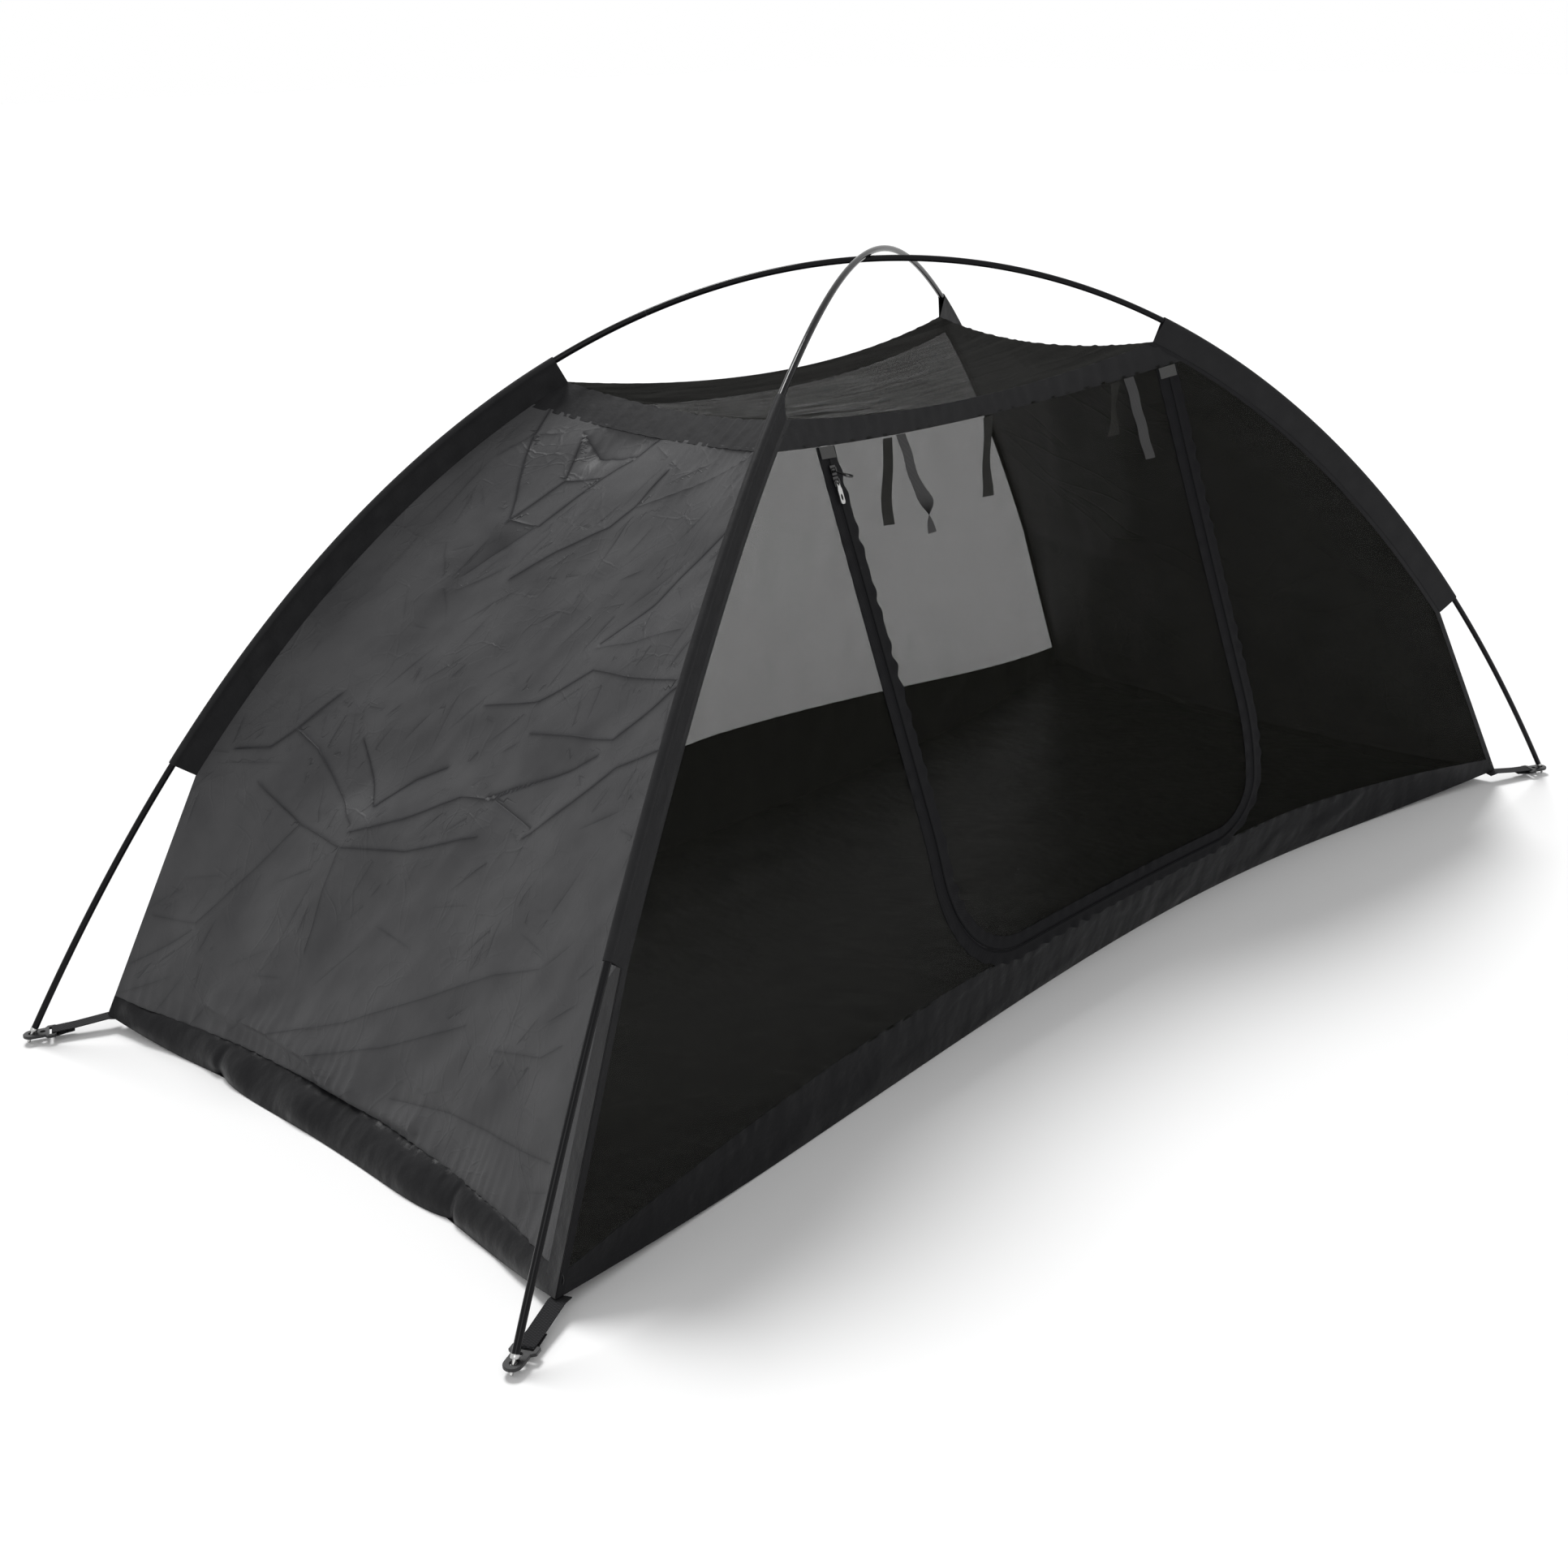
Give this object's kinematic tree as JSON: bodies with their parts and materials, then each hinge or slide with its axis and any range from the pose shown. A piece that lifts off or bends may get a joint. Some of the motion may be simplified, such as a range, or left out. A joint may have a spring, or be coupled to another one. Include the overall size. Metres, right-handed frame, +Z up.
{
  "type": "mosquito net tent",
  "caption": "Low free-standing net tent: crossed arched poles in corner sleeves hold a net and cloth cabin with a zipped front door, a tub floor and webbing corner straps.",
  "frame": {"origin": "middle of the footprint on the ground, under the crossing of the poles", "axes": "+X along the long side, -Y out of the zipped door, +Z up"},
  "size_m": [2.1496, 1.0522, 0.933],
  "materials": {
    "pole_black": "black anodised drawn tube, satin",
    "bright_metal": "plain bright metal",
    "black_plastic": "moulded black plastic, fine grain",
    "black_webbing": "woven black webbing",
    "grey_polyester": "plain woven dark grey polyester, creased",
    "black_groundsheet": "coated black polyester, slight sheen",
    "mosquito_net": "fine dark mosquito mesh, see-through",
    "zip_tape": "black woven zip tape with nylon coil",
    "tie_ribbon": "dark grey woven ribbon",
    "shock_cord": "braided elastic cord"
  },
  "bodies": {
    "tent": {"back_net": "mosquito_net", "corner_plate_back_left": "black_plastic", "corner_plate_back_right": "black_plastic", "corner_plate_front_left": "black_plastic", "corner_plate_front_right": "black_plastic", "corner_strap_back_left": "black_webbing", "corner_strap_back_right": "black_webbing", "corner_strap_front_left": "black_webbing", "corner_strap_front_right": "black_webbing", "door_header": "mosquito_net", "end_panel_left": "grey_polyester", "end_panel_right": "grey_polyester", "front_net_left": "mosquito_net", "front_net_right": "mosquito_net", "groundsheet": "black_groundsheet", "pole_1_section_1": "pole_black", "pole_1_section_2": "pole_black", "pole_1_section_3": "pole_black", "pole_1_section_4": "pole_black", "pole_1_section_5": "pole_black", "pole_1_shock_cord": "shock_cord", "pole_2_section_1": "pole_black", "pole_2_section_2": "pole_black", "pole_2_section_3": "pole_black", "pole_2_section_4": "pole_black", "pole_2_section_5": "pole_black", "pole_2_shock_cord": "shock_cord", "pole_sleeve_back_left": "grey_polyester", "pole_sleeve_back_right": "grey_polyester", "pole_sleeve_front_left": "grey_polyester", "pole_sleeve_front_right": "grey_polyester", "pole_tip_back_left": "bright_metal", "pole_tip_back_right": "bright_metal", "pole_tip_front_left": "bright_metal", "pole_tip_front_right": "bright_metal", "roof_net": "mosquito_net", "roof_strip_back": "grey_polyester", "roof_strip_front": "grey_polyester", "roof_strip_left": "grey_polyester", "roof_strip_right": "grey_polyester", "tub_wall_back": "black_groundsheet", "tub_wall_front": "black_groundsheet", "tub_wall_left": "black_groundsheet", "tub_wall_right": "black_groundsheet", "zip_end_patch_left": "tie_ribbon", "zip_end_patch_right": "tie_ribbon", "zip_tape_cabin": "zip_tape", "zip_tape_header_left": "zip_tape", "zip_tape_header_right": "zip_tape"},
    "door": {"door_flap": "mosquito_net", "zip_tape_door": "zip_tape"},
    "slider_upper": {"zip_slider_upper": "bright_metal"},
    "slider_lower": {"zip_slider_lower": "bright_metal"},
    "pull_upper": {"zip_pull_upper": "black_plastic"},
    "pull_lower": {"zip_pull_lower": "bright_metal"},
    "tie_inner_1": {"tie_inner_1": "tie_ribbon"},
    "tie_inner_2": {"tie_inner_2": "tie_ribbon"},
    "tie_inner_3": {"tie_inner_3": "tie_ribbon"},
    "tie_outer_1": {"tie_outer_1": "tie_ribbon"},
    "tie_outer_2": {"tie_outer_2": "tie_ribbon"}
  },
  "joints": [
    {"name": "door_lift", "type": "hinge", "parent": "tent", "child": "door", "pos_m": [0, -0.27275, 0.60214], "axis": [-1, 0, 0], "range_deg": [0, 95]},
    {"name": "zip_upper_run", "type": "slide", "parent": "tent", "child": "slider_upper", "axis": [0, 0.3387, 0.9409], "range_m": [0, 0.005]},
    {"name": "zip_lower_run", "type": "slide", "parent": "tent", "child": "slider_lower", "axis": [0, -0.3387, -0.9409], "range_m": [0, 0.4]},
    {"name": "pull_upper_swing", "type": "hinge", "parent": "slider_upper", "child": "pull_upper", "pos_m": [-0.29903, -0.22355, 0.71681], "axis": [-0.9823, -0.1764, 0.0635], "range_deg": [0, 28]},
    {"name": "pull_lower_swing", "type": "hinge", "parent": "slider_lower", "child": "pull_lower", "pos_m": [-0.29905, -0.22824, 0.70381], "axis": [-0.9823, -0.1764, 0.0635], "range_deg": [0, 70]},
    {"name": "tie_inner_1_swing", "type": "hinge", "parent": "tent", "child": "tie_inner_1", "pos_m": [-0.1702, -0.18978, 0.73135], "axis": [-0.9936, -0.0973, 0.0575], "range_deg": [-60, 10]},
    {"name": "tie_inner_2_swing", "type": "hinge", "parent": "tent", "child": "tie_inner_2", "pos_m": [0.02999, -0.18171, 0.72657], "axis": [-0.9998, 0.0173, -0.0102], "range_deg": [-60, 10]},
    {"name": "tie_inner_3_swing", "type": "hinge", "parent": "tent", "child": "tie_inner_3", "pos_m": [0.27528, -0.20325, 0.7393], "axis": [-0.9835, 0.1558, -0.0921], "range_deg": [-60, 10]},
    {"name": "tie_outer_1_swing", "type": "hinge", "parent": "tent", "child": "tie_outer_1", "pos_m": [-0.14783, -0.19074, 0.73127], "axis": [-0.9951, -0.0849, 0.05], "range_deg": [0, 65]},
    {"name": "tie_outer_2_swing", "type": "hinge", "parent": "tent", "child": "tie_outer_2", "pos_m": [0.29565, -0.20966, 0.74241], "axis": [-0.981, 0.1673, -0.0986], "range_deg": [0, 65]}
  ]
}
